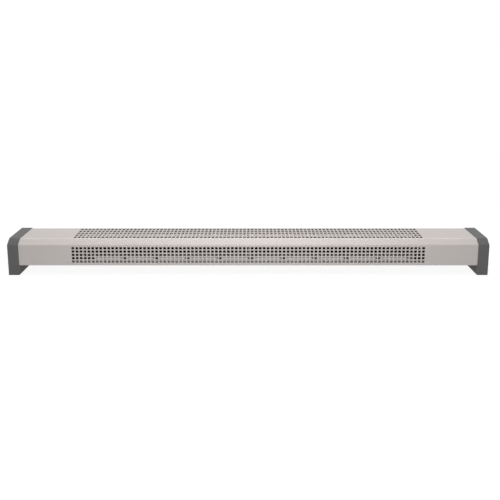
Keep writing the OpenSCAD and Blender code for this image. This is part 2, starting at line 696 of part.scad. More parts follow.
// The earth terminal: a headed stud through the tray, a washer, the wire's ring and a nut
stud_head_h = 1.5;
stud_tip = 4;
washer_rim = 0.5;
ring_t = 0.8;
washer_t = 1;
nut_h = 3.2;
ring_z = tray_top + washer_t;
module earth_stud() color("#c9a24a") union() {
    rod_z(earth_at.x, earth_at.y, tray_z - stud_head_h, stud_head_r, stud_head_h);
    rod_z(earth_at.x, earth_at.y, tray_z, stud_r, ring_z + ring_t + nut_h + stud_tip - tray_z);
}
module earth_washer() color("#d2d4d6") difference() {
    rod_z(earth_at.x, earth_at.y, tray_top, stud_head_r + washer_rim, washer_t);
    rod_z(earth_at.x, earth_at.y, tray_top - cut, stud_r + bore_play, washer_t + 2 * cut);
}
module earth_nut() color("#c9a24a") difference() {
    translate([earth_at.x, earth_at.y, ring_z + ring_t]) cylinder(h = nut_h, r = stud_head_r, $fn = 6);
    rod_z(earth_at.x, earth_at.y, ring_z + ring_t - cut, stud_r + bore_play, nut_h + 2 * cut);
}

// Wires between the block, the cut-out, the element and the earth stud. They enter the inserts
// a little, and stop just short of a tag everywhere else.
wire_gap = 0.3;
block_face = block_at.x - block.x / 2;
wire_grip = 4;
wire_in = block_face + wire_grip;
pin_end = sheath_end + pin_len;
tag_len = 8;
tag_wall = 0.8;
ring_neck = 8;
barrel_wall = 0.7;
barrel_r = wire_r + barrel_wall;
barrel_len = 5;
barrel_end = earth_at.x + ring_neck + barrel_len;
tab_wire_gap = 3;
tab_wire_z = tab_top + tab_wire_gap;
hood = [8, 3.6];
hood_grip = 5;
hood_play = 0.1;
function from_block(y) = [for (x = [wire_in, block_face + 0.5, block_face - 3]) [x, y, pole_z]];
module live_wire() color("#7a4a2b")
    tube(smooth(concat(from_block(poles_y[2]), [
        [block_face - 8, poles_y[2] + 2, pole_z + 8], [block_face - 7, poles_y[2] + 7, pole_z + 22],
        [tab_x[1] + 3, button_at.y - 5, tab_wire_z + 10], [tab_x[1], button_at.y, tab_wire_z + 7],
        [tab_x[1], button_at.y, tab_wire_z + wire_gap]])), wire_r);
module link_wire() color("#7a4a2b")
    tube(smooth([[tab_x[0], button_at.y, tab_wire_z + wire_gap],
        [tab_x[0], button_at.y, tab_wire_z + 5],
        [tab_x[0] - 2, button_at.y - 1, tab_wire_z + 9], [tab_x[0] - 3, button_at.y - 2.5, tab_wire_z + 5],
        [pin_end + 7, run_gap / 2 + 1, element_z + 3], [pin_end + 4, run_gap / 2, element_z],
        [pin_end + wire_gap, run_gap / 2, element_z]]), wire_r);
module neutral_wire() color("#3d5f95")
    tube(smooth(concat(from_block(poles_y[1]), [
        [block_face - 9, poles_y[1], pole_z + 5], [block_face - 16, poles_y[1] + 3, element_z - 4],
        [pin_end + 12, -run_gap / 2 - 2, element_z + 1], [pin_end + 5, -run_gap / 2, element_z],
        [pin_end + wire_gap, -run_gap / 2, element_z]])), wire_r);
module earth_wire() color("#7d9a3a")
    tube(smooth(concat(from_block(poles_y[0]), [
        [block_face - 7, poles_y[0] + 1.5, pole_z - 0.5],
        [barrel_end + 5, earth_at.y - 2, ring_z + barrel_r + 1.5],
        [barrel_end + 2, earth_at.y, ring_z + barrel_r],
        [barrel_end + wire_gap, earth_at.y, ring_z + barrel_r]])), wire_r);

// Push-on tags on the tabs, sleeves on the element's pins, and the ring on the earth stud
module wire_tags() color("#d2d4d6") {
    for (x = tab_x) difference() {
        translate([x - hood.x / 2, button_at.y - hood.y / 2, tab_top - hood_grip])
            cube([hood.x, hood.y, tab_wire_gap + hood_grip]);
        translate([x - tab.x / 2 - hood_play, button_at.y - tab.y / 2 - hood_play,
            tab_top - hood_grip - cut])
            cube([tab.x + 2 * hood_play, tab.y + 2 * hood_play, hood_grip + cut + 2 * hood_play]);
    }
    for (s = [-1, 1]) difference() {
        rod_x(pin_end - tag_len, s * run_gap / 2, element_z, pin_r + tag_wall, tag_len);
        rod_x(pin_end - tag_len - cut, s * run_gap / 2, element_z, pin_r + bore_play, tag_len + 2 * cut);
    }
    difference() {
        union() {
            rod_z(earth_at.x, earth_at.y, ring_z, stud_head_r, ring_t);
            translate([earth_at.x, earth_at.y - wire_r, ring_z])
                cube([ring_neck + cut, 2 * wire_r, ring_t]);
            rod_x(earth_at.x + ring_neck, earth_at.y, ring_z + barrel_r, barrel_r, barrel_len);
        }
        rod_z(earth_at.x, earth_at.y, ring_z - cut, stud_r + bore_play, ring_t + 2 * cut);
    }
}

// Pan-head screws, with a cross recess
recess_w = 0.8;
cap_head = [3.4, 2.2];
cover_head = [3, 1.8];
cover_screw_len = 9;
module pan_screw(length, head) {
    difference() {
        union() {
            translate([0, 0, -head[1]]) cylinder(h = head[1], r = head[0]);
            cylinder(h = length, r = screw_r);
        }
        for (a = [0, 90]) rotate(a) translate([-head[0] * 0.6, -recess_w / 2, -head[1] - cut])
            cube([head[0] * 1.2, recess_w, head[1] / 2 + cut]);
    }
}
module cap_screws() color("#8f9295") for (e = [0, 1]) mirror([e, 0, 0]) for (p = cap_screws_at)
    translate([plate_in_x, p.x, p.y]) rotate([0, 90, 0]) pan_screw(spigot_len + screw_grip, cap_head);
module cover_screws() color("#8f9295") for (x = cover_screw_x)
    translate([x, cover_screw_y, leg_h]) pan_screw(cover_screw_len, cover_head);

// A blind rivet through sheets of the given total thickness, with its head below them
rivet_head_h = 0.9;
rivet_tail_h = 1.6;
module rivet(grip) {
    translate([0, 0, -rivet_head_h]) cylinder(h = rivet_head_h, r = rivet_r * 1.7);
    cylinder(h = grip, r = rivet_r);
    translate([0, 0, grip]) cylinder(h = rivet_tail_h, r = rivet_r * 1.25);
}
module chassis_rivets() color("#cfd2d4") {
    for (p = tray_rivets) translate([p.x, p.y, tray_z])
        rivet(chassis_t + (abs(p.x) < partition_x - foot_len ? hanger_t : chassis_t));
    for (p = flange_rivets) translate([p.x, back_out, p.y]) rotate([90, 0, 0]) rivet(2 * chassis_t);
    for (p = plate_rivets) translate([p.x, back_out, p.y]) rotate([90, 0, 0]) rivet(2 * chassis_t);
    for (p = shield_rivets)
        translate([p.x, back_out, p.y]) rotate([90, 0, 0]) rivet(chassis_t + shield_t);
}

cover();
back_panel();
base_tray();
left_end_cap();
right_end_cap();
left_end_plate();
right_end_plate();
left_partition();
right_partition();
heat_shield();
element_sheath();
element_profile();
element_pins();
element_insulators();
partition_bushes();
left_hanger();
mid_hanger();
right_hanger();
cutout_body();
cutout_nut();
cutout_tabs();
reset_button();
reset_spring();
sensor_tube();
terminal_block();
terminal_inserts();
terminal_screws();
block_screws();
cable_bush();
earth_stud();
earth_nut();
earth_washer();
live_wire();
link_wire();
neutral_wire();
earth_wire();
wire_tags();
cap_screws();
cover_screws();
chassis_rivets();
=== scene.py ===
# %% [markdown]
# Plinth convector heater
# This heater is a long, low box of perforated sheet that stands on the floor on two moulded end
# caps. Its frame already holds every piece as a solid of the right size in the right place. The
# solids could be rendered as they are, but their edges are knife-sharp, their holes are plain
# rectangles and nothing has a finish. So the frame stays the measure of everything, and this lesson
# makes what an eye sees: rounded holes, rolled edges and the finishes.

# %% Load the frame
import math

import bmesh
import bpy
import numpy as np
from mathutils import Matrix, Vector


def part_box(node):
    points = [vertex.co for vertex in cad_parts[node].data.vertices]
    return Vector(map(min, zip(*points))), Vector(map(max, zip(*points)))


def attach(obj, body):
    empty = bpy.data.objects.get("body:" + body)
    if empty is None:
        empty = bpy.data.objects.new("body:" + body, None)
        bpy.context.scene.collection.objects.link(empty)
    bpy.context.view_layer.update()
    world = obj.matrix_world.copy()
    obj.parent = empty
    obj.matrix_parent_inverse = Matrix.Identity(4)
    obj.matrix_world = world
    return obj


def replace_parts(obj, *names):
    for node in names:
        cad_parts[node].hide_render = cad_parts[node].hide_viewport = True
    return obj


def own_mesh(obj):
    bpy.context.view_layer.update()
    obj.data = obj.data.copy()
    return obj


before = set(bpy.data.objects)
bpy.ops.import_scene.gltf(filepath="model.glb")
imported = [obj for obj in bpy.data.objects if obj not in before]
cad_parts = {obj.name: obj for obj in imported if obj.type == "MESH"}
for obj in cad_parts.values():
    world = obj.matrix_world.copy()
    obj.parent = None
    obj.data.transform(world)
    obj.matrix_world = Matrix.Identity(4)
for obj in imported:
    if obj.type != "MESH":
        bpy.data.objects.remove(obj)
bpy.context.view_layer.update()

MM = 0.001


# %% [markdown]
# No surface of the real heater is one flat colour: paint drifts a little, zinc shows its crystals,
# and a moulding is faintly mottled. Pictures of such surfaces could be wrapped round the pieces,
# but a material made of nodes is sharp at any distance and needs no files. Every finish here is
# Blender's Principled shader, with the object's own coordinates in metres at hand.

# %% A blank finish
class Finish:
    """A node material: its tree, its Principled shader, and the place of each point on the piece."""

    def __init__(self, name, colour, roughness, metallic=0.0, **sockets):
        self.material = bpy.data.materials.new(name)
        self.material.use_nodes = True
        self.tree = self.material.node_tree
        self.shader = self.tree.nodes["Principled BSDF"]
        self.shader.inputs["Base Color"].default_value = (*colour, 1)
        self.shader.inputs["Roughness"].default_value = roughness
        self.shader.inputs["Metallic"].default_value = metallic
        for socket, value in sockets.items():
            self.shader.inputs[socket.replace("_", " ")].default_value = value
        self.place = self.tree.nodes.new("ShaderNodeTexCoord").outputs["Object"]


print("blank finish: Principled shader and object coordinates")


# %% [markdown]
# Two kinds of pattern cover all that is needed. Noise is a soft cloud, right for paint, stains and
# mould texture, and drawn out along one axis it becomes rolling lines. Crystal cells have hard
# borders and one random value each, as zinc crystals and metal flakes do. A third source is a
# number that the mesh itself carries, for what follows the shape, such as a hole's rim.

# %% Patterns on a surface
def grain(finish, per_metre, stretch=(1, 1, 1), detail=3.0, rough=0.5):
    """Noise with that many cells per metre, drawn out along an axis where stretch is below 1."""
    mapping = finish.tree.nodes.new("ShaderNodeMapping")
    mapping.inputs["Scale"].default_value = stretch
    noise = finish.tree.nodes.new("ShaderNodeTexNoise")
    noise.inputs["Scale"].default_value = per_metre
    noise.inputs["Detail"].default_value = detail
    noise.inputs["Roughness"].default_value = rough
    finish.tree.links.new(finish.place, mapping.inputs["Vector"])
    finish.tree.links.new(mapping.outputs["Vector"], noise.inputs["Vector"])
    return noise.outputs["Fac"]


def cells(finish, per_metre):
    """One random value per cell of a crystal pattern with that many cells per metre."""
    crystals = finish.tree.nodes.new("ShaderNodeTexVoronoi")
    crystals.inputs["Scale"].default_value = per_metre
    finish.tree.links.new(finish.place, crystals.inputs["Vector"])
    split = finish.tree.nodes.new("ShaderNodeSeparateColor")
    finish.tree.links.new(crystals.outputs["Color"], split.inputs["Color"])
    return split.outputs["Red"]


def carried(finish, name):
    """The value of that name that the piece's own mesh carries."""
    node = finish.tree.nodes.new("ShaderNodeAttribute")
    node.attribute_name = name
    return node.outputs["Fac"]


print("patterns: grain, cells, carried")


# %% [markdown]
# A pattern is only a number, mostly between 0 and 1. It is seen once it becomes a colour, a
# roughness or a height. One big node group could do it all, but small helpers keep each finish
# readable as a recipe. The first two stretch the number over a range, and mix two tones with it.

# %% From a pattern to a range or a colour
def span(finish, value, low, high, start=0.3, end=0.7):
    """The value's range start to end stretched in a straight line over low to high."""
    node = finish.tree.nodes.new("ShaderNodeMapRange")
    node.inputs["From Min"].default_value = start
    node.inputs["From Max"].default_value = end
    node.inputs["To Min"].default_value = low
    node.inputs["To Max"].default_value = high
    finish.tree.links.new(value, node.inputs["Value"])
    return node.outputs["Result"]


def blend(finish, value, dark, light):
    """A colour between two tones; each is a triple or another blend's output."""
    node = finish.tree.nodes.new("ShaderNodeMix")
    node.data_type = "RGBA"
    finish.tree.links.new(value, node.inputs["Factor"])
    for socket, tone in (("A", dark), ("B", light)):
        target = [s for s in node.inputs if s.name == socket and s.type == "RGBA"][0]
        if isinstance(tone, tuple):
            target.default_value = (*tone, 1)
        else:
            finish.tree.links.new(tone, target)
    return [s for s in node.outputs if s.type == "RGBA"][0]


print("uses of a pattern: span, blend")


# %% [markdown]
# The other two join the outcome to the shader, or press it into the surface. Real relief would
# need millions of faces for paint grain of a hundredth of a millimetre. A Bump node only turns the
# light's angle at each point, which is all that such shallow relief does to the eye.

# %% From a pattern to the shader or a relief
def feed(finish, socket, output):
    """Joins an output to one of the shader's sockets."""
    finish.tree.links.new(output, finish.shader.inputs[socket])


def relief(finish, height, depth_mm):
    """Bump of the given depth; a second call lies over the first."""
    node = finish.tree.nodes.new("ShaderNodeBump")
    node.inputs["Strength"].default_value = 1.0
    node.inputs["Distance"].default_value = depth_mm * MM
    finish.tree.links.new(height, node.inputs["Height"])
    before = finish.shader.inputs["Normal"].links
    if before:
        finish.tree.links.new(before[0].from_socket, node.inputs["Normal"])
    feed(finish, "Normal", node.outputs["Normal"])


print("uses of a pattern: feed, relief")

# %% [markdown]
# The cover's paint is a warm grey powder coat with fine metal flakes. A metallic shader with a
# clear coat over it could make that, but it mirrors the lamps in the long folds as white lines,
# which a satin powder coat doesn't do. So the shader is mostly matt, and the flakes work as the
# real ones do from a step away: each spot is a little lighter or darker, smoother or rougher. The
# coat has a soft orange-peel relief, and it runs thin on the punched rims.

# %% Cover paint
cover_paint = Finish("cover_paint", (0.5, 0.46, 0.44), 0.5, 0.2)
flakes = cells(cover_paint, 1800)
flaked = blend(cover_paint, span(cover_paint, flakes, 0, 1, 0, 1), (0.47, 0.437, 0.42), (0.57, 0.528, 0.51))
drift = blend(cover_paint, grain(cover_paint, 6, detail=2), (0.495, 0.459, 0.443), (0.54, 0.5, 0.482))
flake_share = span(cover_paint, grain(cover_paint, 900), 0.35, 0.65)
full_coat = blend(cover_paint, flake_share, drift, flaked)
thin_coat = (0.43, 0.4, 0.385)
feed(cover_paint, "Base Color", blend(cover_paint, carried(cover_paint, "rim"), full_coat, thin_coat))
feed(cover_paint, "Roughness", span(cover_paint, flakes, 0.46, 0.56, 0, 1))
relief(cover_paint, grain(cover_paint, 420, detail=1), 0.02)
relief(cover_paint, grain(cover_paint, 2600), 0.006)
print("cover paint:", len(cover_paint.tree.nodes), "nodes")


# %% [markdown]
# The end caps, the cut-out, the terminal block and the insulation are moulded. The mould's spark-
# eroded face leaves a fine even texture, and handling polishes it here and there. A plain plastic
# with a fixed gloss would look like new paint, so colour and roughness both drift slowly, and one
# recipe serves all mouldings: only the colour, the gloss and the texture's size differ.

# %% Moulded finishes
def moulded(name, colour, roughness, texture_per_metre=1400, depth_mm=0.03):
    """Plastic: two near tones in a slow drift, handling marks in the gloss, and a fine relief."""
    made = Finish(name, colour, roughness, Specular_IOR_Level=0.35)
    darker, lighter = tuple(c * 0.93 for c in colour), tuple(min(1, c * 1.07 + 0.002) for c in colour)
    feed(made, "Base Color", blend(made, grain(made, 14, detail=4), darker, lighter))
    feed(made, "Roughness", span(made, grain(made, 30, detail=5), roughness - 0.03, roughness + 0.03))
    relief(made, grain(made, texture_per_metre, detail=2), depth_mm)
    return made


cap_plastic = moulded("cap_plastic", (0.107, 0.107, 0.105), 0.55)
phenolic = moulded("phenolic", (0.045, 0.043, 0.047), 0.42)
block_plastic = moulded("block_plastic", (0.79, 0.77, 0.71), 0.38)
button_red = moulded("button_red", (0.45, 0.02, 0.014), 0.3)
black_rubber = moulded("black_rubber", (0.024, 0.024, 0.025), 0.72, 900, 0.05)
wire_brown = moulded("wire_brown", (0.19, 0.068, 0.024), 0.46)
wire_blue = moulded("wire_blue", (0.047, 0.114, 0.3), 0.46)
print("moulded finishes: caps, cut-out, terminals, button, bush and two wires")

# %% [markdown]
# Steatite is the pale ceramic of the beads and bushes round the hot element. The partitions
# are sheet made near black, which keeps the heater's ends dark behind the last columns of holes.
# Neither is plastic, but both are matt and finely textured, which is what the moulded recipe gives
# once its texture is made coarser. A recipe that fits is better reused than written again.

# %% Ceramic and near-black sheet
steatite = moulded("steatite", (0.8, 0.76, 0.68), 0.55, 700, 0.04)
# near black, so that the heater's ends behind the last hole columns show dark
black_sheet = moulded("black_sheet", (0.021, 0.018, 0.0155), 0.6, 500, 0.02)
print("also by that recipe: steatite and black sheet")

# %% [markdown]
# The earth wire is green with a yellow stripe that winds round it. A stripe on the object's
# coordinates would cut through the wire like a plane. Instead the wire's mesh carries a number
# that counts the turns round it and along it, and the finish only has to ask where that number
# passes a threshold.

# %% Earth wire
green, yellow = (0.055, 0.2, 0.045), (0.75, 0.62, 0.04)
green_end, yellow_start = 0.42, 0.46
wire_earth = moulded("wire_green_yellow", (0.1, 0.24, 0.05), 0.46)
stripe = span(wire_earth, carried(wire_earth, "round"), 0, 1, green_end, yellow_start)
feed(wire_earth, "Base Color", blend(wire_earth, stripe, green, yellow))
print("earth wire: yellow from %.2f of each turn" % yellow_start)


# %% [markdown]
# The chassis is zinc-coated sheet. As the zinc sets it forms flat crystals, the spangle, of which
# each mirrors a little differently. One even grey metal would look like aluminium foil, so every
# crystal gets its own tone and its own roughness, under the faint grain of the rolling mill.

# %% Zinc-coated sheet
def zinc_sheet(name, colour, roughness):
    """Spangle: each crystal has its own tone and its own roughness, under a faint rolling grain."""
    made = Finish(name, colour, roughness, 1.0)
    spangle = cells(made, 160)
    feed(made, "Base Color", blend(made, spangle, tuple(c * 0.9 for c in colour), colour))
    feed(made, "Roughness", span(made, spangle, roughness - 0.08, roughness + 0.08, 0, 1))
    relief(made, grain(made, 500, (0.2, 1, 1)), 0.02)
    return made


galvanised = zinc_sheet("galvanised", (0.364, 0.358, 0.35), 0.46)
print("zinc-coated sheet:", len(galvanised.tree.nodes), "nodes")


# %% [markdown]
# Tube, rod, bright sheet and plated parts show how they were drawn or rolled: fine lines along the
# work, and light stains from handling. Anisotropic gloss could make the lines, but they are so
# fine here that noise stretched along the heater, in colour and roughness, does as well. Turned and
# plated parts have no such direction, so their noise isn't stretched.

# %% Drawn and plated metals
def drawn_metal(name, colour, roughness, stretch=(0.05, 1, 1), per_metre=900, metallic=1.0, **sockets):
    """Fine lines along the drawing direction in colour and roughness, and light handling stains."""
    made = Finish(name, colour, roughness, metallic, **sockets)
    lines = grain(made, per_metre, stretch, 4)
    stained = blend(made, grain(made, 40), tuple(c * 0.86 for c in colour), colour)
    feed(made, "Base Color", blend(made, lines, stained, tuple(min(1, c * 1.05) for c in colour)))
    feed(made, "Roughness", span(made, lines, roughness - 0.06, roughness + 0.1))
    relief(made, lines, 0.01)
    return made


even = (1, 1, 1)
bright_sheet = drawn_metal("bright_sheet", (0.765, 0.742, 0.69), 0.42)
sheath_steel = drawn_metal("sheath_steel", (0.05, 0.04, 0.032), 0.5)
copper_tube = drawn_metal("copper_tube", (0.62, 0.33, 0.19), 0.33)
plated_steel = drawn_metal("plated_steel", (0.66, 0.67, 0.68), 0.33, even, 600)
spring_steel = drawn_metal("spring_steel", (0.58, 0.59, 0.6), 0.28, even, 1500)
brass = drawn_metal("brass", (0.72, 0.5, 0.2), 0.34, even, 700)
print("drawn and plated metals: 6")

# %% [markdown]
# The element's ribs are extruded aluminium, made near black here, which shows as the black behind
# the upper holes. The extrusion's lines still show, so the drawn recipe serves, only without its
# metal and with very little gloss.

# %% Element coat
element_black = drawn_metal("element_black", (0.0068, 0.0048, 0.0034), 0.75, per_metre=700, metallic=0.0,
                            Specular_IOR_Level=0.15)
print("element coat: roughness 0.75, specular 0.15")


# %% [markdown]
# A piece is a mesh on an object. Points and faces could be added one at a time, but the cover has
# tens of thousands of each. Blender takes whole arrays in one go with foreach_set, which is quick
# and keeps the code free of loops over points. Each piece is then shaded smooth up to its sharp
# edges, gets its finish, and rides on the casing, or on the button if it moves with that.

# %% Put arrays into a mesh
def dress(name, mesh, finish, body="casing", crease=35):
    """A mesh becomes a piece: smooth but for edges over crease degrees, finished, riding on its body."""
    mesh.shade_smooth()
    mesh.set_sharp_from_angle(angle=math.radians(crease))
    mesh.materials.clear()
    mesh.materials.append(finish.material)
    piece = bpy.data.objects.new(name, mesh)
    bpy.context.collection.objects.link(piece)
    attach(piece, body)
    return piece


def add_piece(name, points, faces, finish, crease=35):
    """Points (n, 3) in mm and a list of (m, 3) or (m, 4) face arrays become a piece of the casing."""
    mesh = bpy.data.meshes.new(name)
    corners = np.concatenate([f.ravel() for f in faces]).astype(np.int32)
    sizes = np.concatenate([np.full(len(f), f.shape[1]) for f in faces])
    starts = np.concatenate([[0], np.cumsum(sizes)[:-1]]).astype(np.int32)
    mesh.vertices.add(len(points))
    mesh.vertices.foreach_set("co", (np.asarray(points) * MM).astype(np.float32).ravel())
    mesh.loops.add(len(corners))
    mesh.loops.foreach_set("vertex_index", corners)
    mesh.polygons.add(len(starts))
    mesh.polygons.foreach_set("loop_start", starts)
    mesh.update(calc_edges=True)
    mesh.validate()
    return dress(name, mesh, finish, crease=crease)


print("ways to a piece: add_piece, dress")

# %% [markdown]
# The cover is one sheet, bent along its length into a lip, an upright front, a slope, a flat top
# and a rear flange. A bevelled block with boolean holes could stand for it, but booleans leave
# ragged slivers that shade badly round 890 holes. The real cover is punched flat and bent
# afterwards, and so is this one. First comes its section, with the corners still sharp. It lies
# inside the caps' outline by the same amount on every side, which moves the folds at both ends of
# the 45 degree slope by that amount times the root of 2, less 1.

# %% The cover's section
cover_low, cover_high = (np.array(corner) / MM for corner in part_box("cover"))
cap_low, cap_high = (np.array(corner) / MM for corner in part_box("right_end_cap"))
cap_proud = cap_high[2] - cover_high[2]
front_fold, slope_run = 79.5, 13.0
cover_t, lip_depth, flange_h = 1.0, 13.0, 12.0
fold_shift = cap_proud * (math.sqrt(2) - 1)
section = np.array([
    [cover_low[1] + lip_depth, cover_low[2]],
    [cover_low[1], cover_low[2]],
    [cover_low[1], front_fold - fold_shift],
    [cap_low[1] + slope_run + fold_shift, cover_high[2]],
    [cover_high[1], cover_high[2]],
    [cover_high[1], cover_high[2] - flange_h],
])
fold_radii = np.array([2.5, 4.0, 4.0, 2.5])
print("section: %d sides, folds of %s mm radius" % (len(section) - 1, fold_radii))


# %% [markdown]
# A press brake leaves an arc at each fold. Blender's Bevel could round the corners later, but here
# the exact line is needed beforehand, because the holes are placed by the length along it. So each
# corner gives way to an arc that touches both sides, and every point of the line also knows its
# outward direction, for the sheet's thickness.

# %% Rounded folds
def bend_line(corners, radii, steps):
    """A line with rounded corners, as points and outward directions. Round a corner with side
    normals m and n, the centre is corner - r (m + n) / (1 + m.n), and the points are centre + r
    times a direction that turns evenly from m to n."""
    along = np.diff(corners, axis=0)
    along /= np.linalg.norm(along, axis=1, keepdims=True)
    out = np.stack([-along[:, 1], along[:, 0]], 1)
    m, n = out[:-1], out[1:]
    turn = np.arctan2(m[:, 0] * n[:, 1] - m[:, 1] * n[:, 0], (m * n).sum(1))
    angle = turn[:, None] * np.linspace(0, 1, steps + 1)
    side = np.stack([
        m[:, :1] * np.cos(angle) - m[:, 1:] * np.sin(angle),
        m[:, :1] * np.sin(angle) + m[:, 1:] * np.cos(angle),
    ], -1)
    centre = corners[1:-1] - radii[:, None] * (m + n) / (1 + (m * n).sum(1, keepdims=True))
    arcs = centre[:, None] + radii[:, None, None] * side
    points = np.concatenate([corners[:1], arcs.reshape(-1, 2), corners[-1:]])
    sides = np.concatenate([out[:1], side.reshape(-1, 2), out[-1:]])
    return points, sides


fold_steps = 8
fold_points = fold_steps + 1
line, line_side = bend_line(section, fold_radii, fold_steps)
line_s = np.concatenate([[0], np.cumsum(np.linalg.norm(np.diff(line, axis=0), axis=1))])
print("bent line: %d points, flat width of the cover %.1f mm" % (len(line), line_s[-1]))


# %% [markdown]
# On the flat sheet a place is x along the heater and s across it. Bending is then a lookup: find
# the line's point at s, and step inwards by the depth below the painted face. A Simple Deform
# modifier could bend the sheet as well, but only one fold at a time and never to an exact size.

# %% Bend the flat sheet
def on_cover(flat):
    """Flat coordinates (x, s, depth) bent into place: the line's point at s, less depth times its
    outward direction."""
    x, s, depth = flat.T
    y, z = (np.interp(s, line_s, line[:, k]) - depth * np.interp(s, line_s, line_side[:, k]) for k in (0, 1))
    return np.stack([x, y, z], 1)


print("the sheet's first corner bends to", on_cover(np.array([[cover_low[0], 0.0, 0.0]]))[0].round(2))

# %% [markdown]
# Both grilles have 89 columns, 10 mm apart, and five rows. The rows' heights and depths come from
# the frame's source, and a lookup along the flat parts of the line turns them into lengths s. They
# could be read off the frame's mesh instead, but written out they are easier to check and change.

# %% Places of the holes
column_count, column_pitch, row_count = 89, 10.0, 5
front_first, front_pitch = 35.5, 8.75
top_first, top_pitch = 30.5, 12.25
columns = (np.arange(column_count) - (column_count - 1) / 2) * column_pitch
front_z = front_first + front_pitch * np.arange(row_count)
top_y = top_first - top_pitch * np.arange(row_count)
front_ends = [fold_points, fold_points + 1]
top_ends = [3 * fold_points, 3 * fold_points + 1]
front_s = np.interp(front_z, line[front_ends, 1], line_s[front_ends])
top_s = np.interp(top_y, line[top_ends, 0], line_s[top_ends])
row_s = np.concatenate([front_s, top_s])
front_high, top_deep, hole_wide = 5.9, 7.5, 6.7
row_half = np.repeat([front_high / 2, top_deep / 2], row_count)
hole_half, roll, hole_r = hole_wide / 2, 0.3, 1.3
print("holes:", len(columns), "columns,", len(row_s), "rows")


# %% [markdown]
# A punched and painted hole isn't a clean prism. The punch draws the upper edge over, cuts a tight
# waist, and breaks out wider on the far side. Three rings per hole show that: wide at the painted
# face, tight just below it, and wide again behind. One ring of sixteen points is worked out for
# each row, and numpy repeats it at every column, so no loop over 890 holes is needed.

# %% Rings of the holes
def hole_ring(half_w, half_h, radius, steps=3):
    """Points round a rounded rectangle: corner k turns from 90 k to 90 (k + 1) degrees about its centre."""
    corner = np.array([[1, 1], [-1, 1], [-1, -1], [1, -1]]) * [half_w - radius, half_h - radius]
    angle = math.pi / 2 * (np.arange(4)[:, None] + np.linspace(0, 1, steps + 1))
    ring = corner[:, None] + radius * np.stack([np.cos(angle), np.sin(angle)], -1)
    return ring.reshape(-1, 2)


def rings_everywhere(grow, depth):
    """The ring of every hole as (holes, points, 3) flat coordinates, grown by that much at that depth."""
    rings = np.stack([hole_ring(hole_half + grow, h + grow, hole_r + grow) for h in row_half])
    x = columns[:, None, None] + rings[None, :, :, 0]
    s = row_s[None, :, None] + np.broadcast_to(rings[None, :, :, 1], x.shape)
    return np.stack([x, s, np.full(x.shape, depth)], -1).reshape(-1, rings.shape[1], 3)


print("rings: %d of %d points at each depth" % rings_everywhere(0, 0).shape[:2])

# %% [markdown]
# Between the holes the flat sheet is a grid whose lines run along every hole's edges and along the
# folds. A few more lie just beside the folds and just inside the two ends, so that bends and ends
# shade cleanly. Each hole's rectangle is then a block of whole cells that can be left out. A fine
# even grid would need many times the faces and would still miss the holes' edges.

# %% Grid lines of the sheet
def between(lines):
    """The middle of each pair of neighbours."""
    return (lines[1:] + lines[:-1]) / 2


two_sides = np.array([-1, 1])
hole_x = columns[:, None] + two_sides * (hole_half + roll)
inner_x = columns[:, None] + two_sides * (hole_half - hole_r)
hole_s = row_s[:, None] + two_sides * (row_half + roll)[:, None]
inner_s = row_s[:, None] + two_sides * (row_half - hole_r)[:, None]
end_insets, fold_margin = np.array([0, 0.6, 30]), 0.8
edge_x = cover_high[0] - end_insets
folds = line_s[1:-1]
beside_folds = np.concatenate([folds[::fold_points] - fold_margin, folds[fold_points - 1::fold_points] + fold_margin])
grid_x = np.unique(np.round(np.concatenate([hole_x.ravel(), inner_x.ravel(), edge_x, -edge_x]), 4))
grid_s = np.unique(np.round(np.concatenate([hole_s.ravel(), inner_s.ravel(), line_s, beside_folds]), 4))
in_column = (np.abs(between(grid_x)[:, None] - columns) < hole_half + roll).any(1)
in_row = (np.abs(between(grid_s)[:, None] - row_s) < row_half + roll).any(1)
kept = ~(in_column[:, None] & in_row[None, :])
print("grid: %d by %d cells, of which %d are kept" % (*kept.shape, kept.sum()))


# %% [markdown]
# The kept cells make the sheet's two faces. A block left out has square corners and the hole's
# ring has round ones, so a small fan of triangles runs from each square corner to its arc. One
# many-sided face per corner would be shorter, but its outline is hollow, and Blender may cut such
# a face into triangles that cross the hole.

# %% The sheet's faces
def sheet_cells(depth):
    """The kept cells of the grid at one depth, each turned outwards: (x, s), (x+, s), (x+, s+), (x, s+)."""
    i, j = np.nonzero(kept)
    i, j = (np.stack(a, 1) for a in ((i, i + 1, i + 1, i), (j, j, j + 1, j + 1)))
    return np.stack([grid_x[i], grid_s[j], np.full(i.shape, depth)], -1)


def corner_fans(depth):
    """Triangles from each square corner of a hole's block to the arc that rounds it."""
    arcs = rings_everywhere(roll, depth).reshape(-1, 4, 4, 3)
    half = np.tile(row_half, len(columns))
    middle = arcs.mean((1, 2))
    reach = np.stack([np.full(half.shape, hole_half), half], 1) + roll
    signs = np.array([[1, 1], [-1, 1], [-1, -1], [1, -1]])
    tip = np.concatenate([middle[:, None, :2] + signs * reach[:, None], np.full((len(half), 4, 1), depth)], -1)
    tip = np.broadcast_to(tip[:, :, None], arcs[:, :, 1:].shape)
    return np.stack([tip, arcs[:, :, 1:], arcs[:, :, :-1]], 3).reshape(-1, 3, 3)


print("one face of the sheet: %d cells, %d fan triangles" % (len(sheet_cells(0)), len(corner_fans(0))))


# %% [markdown]
# The holes' walls join one ring to the next, and strips of quads close the sheet along its four
# outer edges. Solidify could give the thickness instead, but it would make the hole walls
# straight, without the drawn-over edge that catches the light.

# %% The holes' walls and the sheet's edges
def hole_walls(near, far):
    """Quads between two rings of every hole, facing the middle of the hole."""
    a, b = rings_everywhere(*near), rings_everywhere(*far)
    return np.stack([a, np.roll(a, -1, 1), np.roll(b, -1, 1), b], 2).reshape(-1, 4, 3)


def edge_strip(x, s, flip):
    """Quads between the sheet's two faces along one outer edge."""
    edge = np.stack(np.broadcast_arrays(x, s), 1)
    out, inn = (np.c_[edge, np.full(len(edge), d)] for d in (0, cover_t))
    quads = np.stack([out[:-1], out[1:], inn[1:], inn[:-1]], 1)
    return inside_out(quads) if flip else quads


